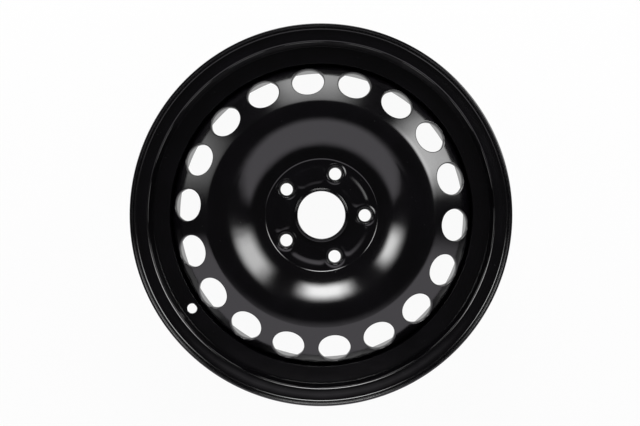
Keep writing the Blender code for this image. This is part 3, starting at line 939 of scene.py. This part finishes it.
def add_plane(name, half_width, half_length, place, turn, material):
    """Flat stage piece with its centre at a place."""
    mesh = bpy.data.meshes.new(name)
    corners = [
        (-half_width, -half_length, 0.0), (half_width, -half_length, 0.0),
        (half_width, half_length, 0.0), (-half_width, half_length, 0.0),
    ]
    mesh.from_pydata(corners, [], [(0, 1, 2, 3)])
    mesh.materials.append(material)
    piece = bpy.data.objects.new(name, mesh)
    piece.matrix_world = Matrix.Translation(place) @ turn.to_4x4()
    bpy.context.scene.collection.objects.link(piece)
    return piece


def add_floor(stage):
    """White floor that keeps a faint shadow."""
    material = bpy.data.materials.new("floor_white")
    start = node_tree(material)
    camera = start.node("ShaderNodeLightPath", {}, {}, "Is Camera Ray")
    mirrored = start.math("MAXIMUM", camera.other("Is Glossy Ray"), camera.other("Is Transmission Ray"))
    seen = start.math("MAXIMUM", camera, mirrored)
    glow = start.node("ShaderNodeEmission", {}, {"Color": grey(1.0), "Strength": 1.0})
    plain = start.node("ShaderNodeBsdfDiffuse", {}, {"Color": grey(FLOOR_COLOUR)})
    mixed = start.node("ShaderNodeMixShader", {}, {0: seen * stage.floor_glow, 1: plain, 2: glow})
    start.node("ShaderNodeOutputMaterial", {}, {"Surface": mixed})
    place = Vector((0.0, 0.0, -FLOOR_DROP))
    add_plane("floor", FLOOR_HALF_SIZE, FLOOR_HALF_SIZE, place, Matrix.Identity(3), material)


def card_material(name, ceiling_light, brightness, sides, near, far):
    """Light that fades to the ceiling's by the angles under which the wheel sees the card."""
    material = bpy.data.materials.new(name)
    start = node_tree(material)
    place = start.node("ShaderNodeTexCoord", {}, {}, "Object")
    across = start.node("ShaderNodeSeparateXYZ", {}, {"Vector": place}, "X")
    along = across.other("Y")
    outward = along * math.cos(CARD_TILT) + CARD_DISTANCE * math.sin(CARD_TILT)
    upward = CARD_DISTANCE * math.cos(CARD_TILT) - along * math.sin(CARD_TILT)
    aside = start.math("ABSOLUTE", start.math("ARCTAN2", across, outward))
    reach = start.math("SQRT", across * across + outward * outward)
    tilt = start.math("ARCTAN2", reach, upward)
    limits = [[math.radians(angle) for angle in pair] for pair in (sides, near, far)]
    lit = (1.0 - aside.step(*limits[0])) * tilt.step(*limits[1]) * (1.0 - tilt.step(*limits[2]))
    surface = start.node("ShaderNodeEmission", {}, {
        "Color": lit.blend(grey(ceiling_light / brightness), grey(1.0)), "Strength": brightness})
    start.node("ShaderNodeOutputMaterial", {}, {"Surface": surface})
    return material


def add_cards(stage):
    """Three soft cards that the coating mirrors in its dish and round its vents."""
    for name, azimuth, brightness, *fades in CARDS:
        azimuth = math.radians(azimuth)
        across = Vector((-math.sin(azimuth), math.cos(azimuth), 0.0))
        outward = Vector((math.cos(azimuth), math.sin(azimuth), 0.0))
        along = outward * math.cos(CARD_TILT) - Vector((0.0, 0.0, math.sin(CARD_TILT)))
        place = outward * (math.sin(CARD_TILT) * CARD_DISTANCE)
        place.z = CARD_AIM + math.cos(CARD_TILT) * CARD_DISTANCE
        turn = Matrix((across, along, across.cross(along))).transposed()
        material = card_material(name, stage.ceiling_light, brightness, *fades)
        card = add_plane(name, CARD_HALF_WIDTH, CARD_HALF_LENGTH, place, turn, material)
        card.visible_camera = False
        card.visible_shadow = False


def add_scrims(stage):
    """Two part rings of dark gauze over the vents, seen in nothing but the cards' reflections."""
    for name, azimuths, (low, high) in SCRIMS:
        material = bpy.data.materials.new(name)
        start = node_tree(material)
        place = start.node("ShaderNodeTexCoord", {}, {}, "Object")
        x = start.node("ShaderNodeSeparateXYZ", {}, {"Vector": place}, "X")
        y = x.other("Y")
        through = start.math("SQRT", x * x + y * y).step(*SCRIM_CHANGE) * (high - low) + low
        dark = start.node("ShaderNodeEmission", {}, {
            "Color": grey(1.0), "Strength": stage.ceiling_light})
        clear = start.node("ShaderNodeBsdfTransparent", {}, {"Color": grey(1.0)})
        mixed = start.node("ShaderNodeMixShader", {}, {0: through, 1: dark, 2: clear})
        start.node("ShaderNodeOutputMaterial", {}, {"Surface": mixed})
        mesh = bpy.data.meshes.new(name)
        count = SCRIM_COLUMNS + 1
        turns = np.radians(np.linspace(*azimuths, count))
        points = np.concatenate([around(radius, SCRIM_HEIGHT, turns) for radius in SCRIM_RADII])
        faces = [(k, k + count, k + count + 1, k + 1) for k in range(SCRIM_COLUMNS)]
        mesh.from_pydata(points.tolist(), [], faces)
        mesh.materials.append(material)
        scrim = bpy.data.objects.new(name, mesh)
        bpy.context.scene.collection.objects.link(scrim)
        scrim.visible_camera = False
        scrim.visible_shadow = False


def add_panel(stage):
    """Large grey panel over the lower half of the picture, with soft edges."""
    material = bpy.data.materials.new("panel_grey")
    start = node_tree(material)
    place = start.node("ShaderNodeTexCoord", {}, {}, "Object")
    x = start.node("ShaderNodeSeparateXYZ", {}, {"Vector": place}, "X")
    y = x.other("Y")
    from_axis = y + PANEL_MIDDLE
    reach = start.math("SQRT", x * x + from_axis * from_axis)
    sides = start.math("ABSOLUTE", x).step(*PANEL_SIDES)
    lit = (1.0 - y.step(*PANEL_NEAR)) * (1.0 - reach.step(*PANEL_FAR)) * (1.0 - sides)
    surface = start.node("ShaderNodeEmission", {}, {
        "Color": lit.blend(grey(stage.ceiling_light / stage.panel_light), PANEL_COLOUR),
        "Strength": stage.panel_light})
    start.node("ShaderNodeOutputMaterial", {}, {"Surface": surface})
    middle = Vector((0.0, PANEL_MIDDLE, PANEL_HEIGHT))
    panel = add_plane(
        "panel", PANEL_HALF_WIDTH, PANEL_HALF_LENGTH, middle, Matrix.Identity(3), material)
    panel.visible_camera = False
    panel.visible_shadow = False


def set_world(stage):
    """White surroundings for the camera and near the floor, dark ones above."""
    world = bpy.data.worlds.new("studio")
    bpy.context.scene.world = world
    start = node_tree(world)
    camera = start.node("ShaderNodeLightPath", {}, {}, "Is Camera Ray")
    place = start.node("ShaderNodeTexCoord", {}, {}, "Generated")
    height = start.node("ShaderNodeSeparateXYZ", {}, {"Vector": place}, "Z")
    low = 1.0 - height.step(*HORIZON_BAND)
    value = low * (stage.horizon_light - stage.ceiling_light) + stage.ceiling_light
    colour = camera.blend(value.blend(grey(0.0), grey(1.0)), grey(1.0))
    surface = start.node("ShaderNodeBackground", {}, {"Color": colour, "Strength": 1.0})
    start.node("ShaderNodeOutputWorld", {}, {"Surface": surface})


def add_camera(stage):
    """Camera close to the wheel's axis, looking straight down."""
    data = bpy.data.cameras.new("camera")
    data.sensor_width = 36.0
    data.lens = stage.focal_length
    data.shift_x, data.shift_y = (shift / IMAGE_WIDTH for shift in FRAME_SHIFT)
    camera = bpy.data.objects.new("camera", data)
    camera.location = (*CAMERA_ASIDE, stage.camera_height)
    bpy.context.scene.collection.objects.link(camera)
    bpy.context.scene.camera = camera


class RimSizes(bpy.types.PropertyGroup):
    """Sizes of the rolled rim."""

    well_radius: FloatProperty(
        name="Well Radius", description="Radius of the well's floor on the tyre side",
        default=FLANGE_RADIUS - 0.038, min=0.05, unit="LENGTH")
    sheet: FloatProperty(
        name="Sheet", description="Thickness of the rolled strip", default=0.0027, min=0.001, unit="LENGTH")
    lip_rounding: FloatProperty(
        name="Lip Rounding", description="Rounding of the flanges' outer edges",
        default=0.0012, min=0.0001, max=0.0013, unit="LENGTH")
    valve_angle: FloatProperty(
        name="Valve Angle", description="Place of the valve hole round the rim",
        default=math.radians(215.9), subtype="ANGLE")
    valve_hole_radius: FloatProperty(
        name="Valve Hole Radius", description="Radius of the valve hole",
        default=0.0063, min=0.003, unit="LENGTH")


class DiscSizes(bpy.types.PropertyGroup):
    """Sizes of the pressed disc."""

    sheet: FloatProperty(
        name="Sheet", description="Thickness of the disc's sheet", default=0.0050, min=0.002, unit="LENGTH")
    edge_rounding: FloatProperty(
        name="Edge Rounding", description="Rounding of the cut edges at skirt and collar",
        default=0.0009, min=0.0001, max=0.0014, unit="LENGTH")
    bore_radius: FloatProperty(
        name="Bore Radius", description="Radius of the centre bore", default=0.0311, min=0.01, unit="LENGTH")
    bolt_circle_radius: FloatProperty(
        name="Bolt Circle Radius", description="Radius of the circle through the bolt holes",
        default=0.05715, min=0.03, unit="LENGTH")
    bolt_hole_radius: FloatProperty(
        name="Bolt Hole Radius", description="Radius of a bolt hole below its seat",
        default=0.0080, min=0.003, unit="LENGTH")
    bolt_seat_radius: FloatProperty(
        name="Bolt Seat Radius", description="Radius of the mouth of a conical seat",
        default=0.0108, min=0.004, unit="LENGTH")
    boss_height: FloatProperty(
        name="Boss Height", description="Height of a seat's boss over the hub",
        default=0.0006, min=0.0002, unit="LENGTH")
    pad_height: FloatProperty(
        name="Pad Height", description="Height of the pads between the bolts",
        default=0.0009, min=0.0002, unit="LENGTH")
    first_bolt_angle: FloatProperty(
        name="First Bolt Angle", description="Place of the first bolt hole",
        default=math.radians(-0.4), subtype="ANGLE")
    first_vent_angle: FloatProperty(
        name="First Vent Angle", description="Place of the first vent",
        default=math.radians(15.7), subtype="ANGLE")
    vent_half_width: FloatProperty(
        name="Vent Half Width", description="Half of a vent's width round the disc",
        default=0.0208, min=0.005, unit="LENGTH")
    vent_inner_reach: FloatProperty(
        name="Vent Inner Reach", description="Reach of a vent toward the axis from its widest place",
        default=0.0205, min=0.005, unit="LENGTH")
    vent_outer_reach: FloatProperty(
        name="Vent Outer Reach", description="Reach of a vent toward the rim from its widest place",
        default=0.0167, min=0.005, unit="LENGTH")


class WeldSizes(bpy.types.PropertyGroup):
    """Sizes of the welds between disc and rim."""

    count: IntProperty(name="Count", description="Number of weld beads", default=8, min=1, max=8)
    first_angle: FloatProperty(
        name="First Angle", description="Place of the first bead's middle",
        default=math.radians(22.5), subtype="ANGLE")
    span: FloatProperty(
        name="Span", description="Angle that a bead covers", default=math.radians(28.0), subtype="ANGLE")
    leg: FloatProperty(
        name="Leg", description="Width of a bead on either sheet", default=0.0050, min=0.001, unit="LENGTH")
    ripple_pitch: FloatProperty(
        name="Ripple Pitch", description="Distance from ripple to ripple",
        default=0.0024, min=0.0005, unit="LENGTH")
    ripple_height: FloatProperty(
        name="Ripple Height", description="Height of the ripples", default=0.00028, min=0.0, unit="LENGTH")


class CoatingLooks(bpy.types.PropertyGroup):
    """Looks of the dip coating."""

    colour: FloatVectorProperty(
        name="Colour", description="Colour of the coating", default=(0.0010, 0.0008, 0.0013),
        min=0.0, max=1.0, subtype="COLOR")
    roughness: FloatProperty(
        name="Roughness", description="Roughness of the coating", default=0.115, min=0.05, max=0.9)
    orange_peel: FloatProperty(
        name="Orange Peel", description="Strength of the coating's fine unevenness", default=1.0, min=0.0)


class StageLooks(bpy.types.PropertyGroup):
    """Light and floor of the stage."""

    camera_height: FloatProperty(
        name="Camera Height", description="Height of the camera over the floor",
        default=1.031, min=0.3, unit="LENGTH")
    focal_length: FloatProperty(
        name="Focal Length", description="Focal length on a 36 mm frame, in millimetres",
        default=37.85, min=10.0)
    floor_glow: FloatProperty(
        name="Floor Glow", description="Share of the floor that shows plain white",
        default=0.95, min=0.0, max=1.0)
    panel_light: FloatProperty(
        name="Panel Light", description="Brightness of the large grey panel", default=0.76, min=0.0)
    horizon_light: FloatProperty(
        name="Horizon Light", description="Brightness of the white surroundings near the floor",
        default=1.0, min=0.0)
    ceiling_light: FloatProperty(
        name="Ceiling Light", description="Brightness of the dark surroundings above",
        default=0.03, min=0.0)


class Wheel(bpy.types.PropertyGroup):
    """Everything that a user would change on the wheel."""

    rim: PointerProperty(type=RimSizes, name="Rim", description="Sizes of the rolled rim")
    disc: PointerProperty(type=DiscSizes, name="Disc", description="Sizes of the pressed disc")
    weld: PointerProperty(type=WeldSizes, name="Welds", description="Sizes of the welds")
    coating: PointerProperty(type=CoatingLooks, name="Coating", description="Looks of the coating")
    stage: PointerProperty(type=StageLooks, name="Stage", description="Light and floor")


class WHEEL_OT_set_stage(bpy.types.Operator):
    """Build the floor, the cards, the scrims, the panel, the surroundings and the camera"""

    bl_idname = "wheel.set_stage"
    bl_label = "Set Stage"

    def execute(self, context):
        stage = context.scene.wheel.stage
        add_floor(stage)
        add_cards(stage)
        add_scrims(stage)
        add_panel(stage)
        set_world(stage)
        add_camera(stage)
        context.scene.view_settings.view_transform = "Standard"
        return {"FINISHED"}


class WHEEL_OT_roll_rim(bpy.types.Operator):
    """Build the rolled rim and its coating"""

    bl_idname = "wheel.roll_rim"
    bl_label = "Roll Rim"

    def execute(self, context):
        wheel = context.scene.wheel
        piece = build_rim(wheel.rim, coating_material("rim_dip_coating", wheel.coating, 1.0, 0.0, 0.0))
        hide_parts("rim")
        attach(piece, "root")
        return {"FINISHED"}


class WHEEL_OT_press_disc(bpy.types.Operator):
    """Build the pressed disc and its coating"""

    bl_idname = "wheel.press_disc"
    bl_label = "Press Disc"

    def execute(self, context):
        wheel = context.scene.wheel
        material = coating_material("disc_dip_coating", wheel.coating, 0.35, 0.0, 3.7)
        piece = build_disc(wheel.disc, wheel.rim.well_radius - wheel.rim.sheet, material)
        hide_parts("disc")
        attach(piece, "root")
        return {"FINISHED"}


class WHEEL_OT_lay_welds(bpy.types.Operator):
    """Build the weld beads between the disc's skirt and the rim's well"""

    bl_idname = "wheel.lay_welds"
    bl_label = "Lay Welds"

    def execute(self, context):
        wheel = context.scene.wheel
        material = coating_material("weld_dip_coating", wheel.coating, 0.0, 1.0, 8.1)
        corner = wheel.rim.well_radius - wheel.rim.sheet
        for index in range(wheel.weld.count):
            piece = build_weld(wheel.weld, index, corner, SKIRT_END, material)
            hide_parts(f"weld_bead_{index + 1}")
            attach(piece, "root")
        return {"FINISHED"}


OPERATORS = (WHEEL_OT_set_stage, WHEEL_OT_roll_rim, WHEEL_OT_press_disc, WHEEL_OT_lay_welds)


class WHEEL_PT_pieces(bpy.types.Panel):
    """Sizes, looks and steps of the wheel"""

    bl_label = "Wheel"
    bl_space_type = "VIEW_3D"
    bl_region_type = "UI"
    bl_category = "Wheel"

    def draw(self, context):
        wheel = context.scene.wheel
        for group in (wheel.rim, wheel.disc, wheel.weld, wheel.coating, wheel.stage):
            box = self.layout.box()
            for name in type(group).__annotations__:
                box.prop(group, name)
        for operator in OPERATORS:
            self.layout.operator(operator.bl_idname)


CLASSES = (
    RimSizes, DiscSizes, WeldSizes, CoatingLooks, StageLooks, Wheel, *OPERATORS, WHEEL_PT_pieces,
)


def register():
    """Make the wheel's properties, operators and panel known."""
    for item in CLASSES:
        bpy.utils.register_class(item)
    bpy.types.Scene.wheel = PointerProperty(type=Wheel)


def unregister():
    """Take the wheel's properties, operators and panel away."""
    del bpy.types.Scene.wheel
    for item in reversed(CLASSES):
        bpy.utils.unregister_class(item)


def main():
    """Build the stage and every piece."""
    register()
    bpy.ops.wheel.set_stage()
    bpy.ops.wheel.roll_rim()
    bpy.ops.wheel.press_disc()
    bpy.ops.wheel.lay_welds()


if __name__ == "__main__":
    main()
